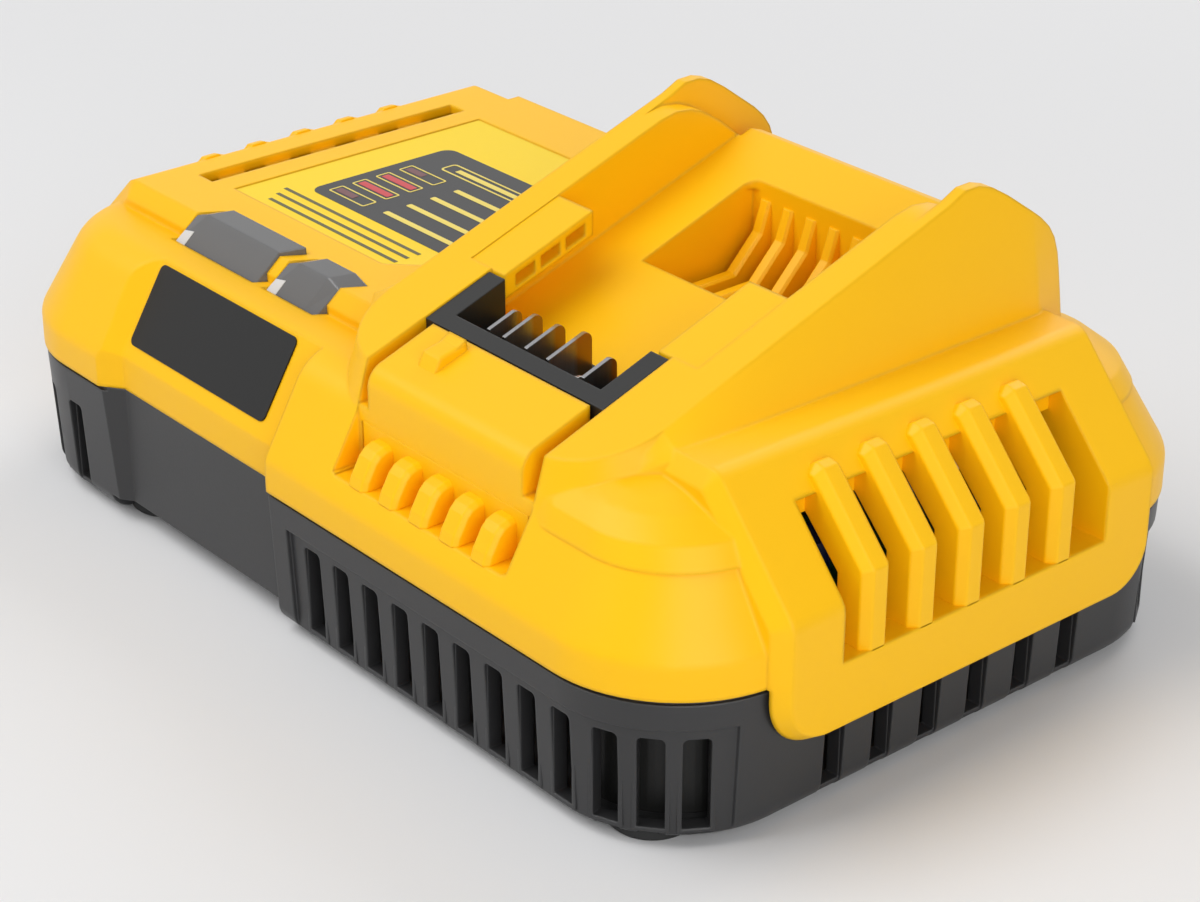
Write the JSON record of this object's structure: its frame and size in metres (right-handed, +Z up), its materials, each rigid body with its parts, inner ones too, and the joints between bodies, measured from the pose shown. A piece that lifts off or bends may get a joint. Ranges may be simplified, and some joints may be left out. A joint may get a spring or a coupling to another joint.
{
  "type": "power tool battery charger",
  "caption": "Mains charger for slide-on tool battery packs: vented two-shell housing, sloping bay with guide rails and contact blades, indicator lenses and cooling fan.",
  "frame": {"origin": "under the middle of the charger, on the plane its feet stand on", "axes": "+X along the front from the indicator side to the pack bay, +Y from the front (contacts) to the back (cord inlet), +Z up"},
  "size_m": [0.249, 0.1594, 0.1029],
  "materials": {
    "yellow_shell": "fine satin moulded plastic",
    "black_shell": "fine satin moulded plastic",
    "black_block": "smooth moulded plastic",
    "blade_steel": "nickel-plated strip",
    "contact_steel": "bright plated strip",
    "smoked_lens": "smoked, polished",
    "black_label": "printed film",
    "yellow_label": "printed film",
    "foot_rubber": "matt",
    "board_green": "solder mask",
    "screw_steel": "zinc-plated",
    "ferrite": "sintered",
    "black_nylon": "moulded nylon",
    "winding_tape": "polyester tape over wire",
    "copper_wire": "enamelled wire",
    "capacitor_sleeve": "shrink sleeve",
    "film_yellow": "moulded case",
    "black_epoxy": "moulded epoxy",
    "fuse_glass": "glass tube in clips",
    "sink_aluminium": "extruded",
    "header_white": "moulded nylon",
    "lead_red": "insulated lead",
    "led_clear": "clear epoxy",
    "fan_black": "glass-filled moulding",
    "bronze": "sintered bronze",
    "shaft_steel": "ground",
    "gland_rubber": "matt"
  },
  "bodies": {
    "charger": {"upper_housing": "yellow_shell", "lower_housing": "black_shell", "terminal_block": "black_block", "power_blades": "blade_steel", "signal_contact": "contact_steel", "charge_lens": "smoked_lens", "fault_lens": "smoked_lens", "front_label": "black_label", "top_label": "yellow_label", "rubber_feet": "foot_rubber", "circuit_board": "board_green", "board_screws": "screw_steel", "transformer_core": "ferrite", "transformer_bobbin": "black_nylon", "transformer_winding": "winding_tape", "choke_core": "ferrite", "choke_winding": "copper_wire", "input_capacitor": "capacitor_sleeve", "output_capacitors": "capacitor_sleeve", "film_capacitor": "film_yellow", "bridge_rectifier": "black_epoxy", "fuse": "fuse_glass", "primary_heat_sink": "sink_aluminium", "secondary_heat_sink": "sink_aluminium", "switching_transistors": "black_epoxy", "output_rectifiers": "black_epoxy", "mains_header": "header_white", "output_leads": "lead_red", "indicator_board": "board_green", "indicator_leds": "led_clear", "air_duct": "black_nylon", "fan_frame": "fan_black", "fan_bearing": "bronze", "fan_stator": "copper_wire", "fan_screws": "screw_steel", "housing_screws": "screw_steel", "cord_gland": "gland_rubber"},
    "fan": {"fan_rotor": "fan_black", "fan_shaft": "shaft_steel"}
  },
  "joints": [
    {"name": "fan_spin", "type": "hinge", "parent": "charger", "child": "fan", "pos_m": [0.0435, 0.0155, 0.046], "axis": [0, 0, 1], "continuous": true}
  ]
}
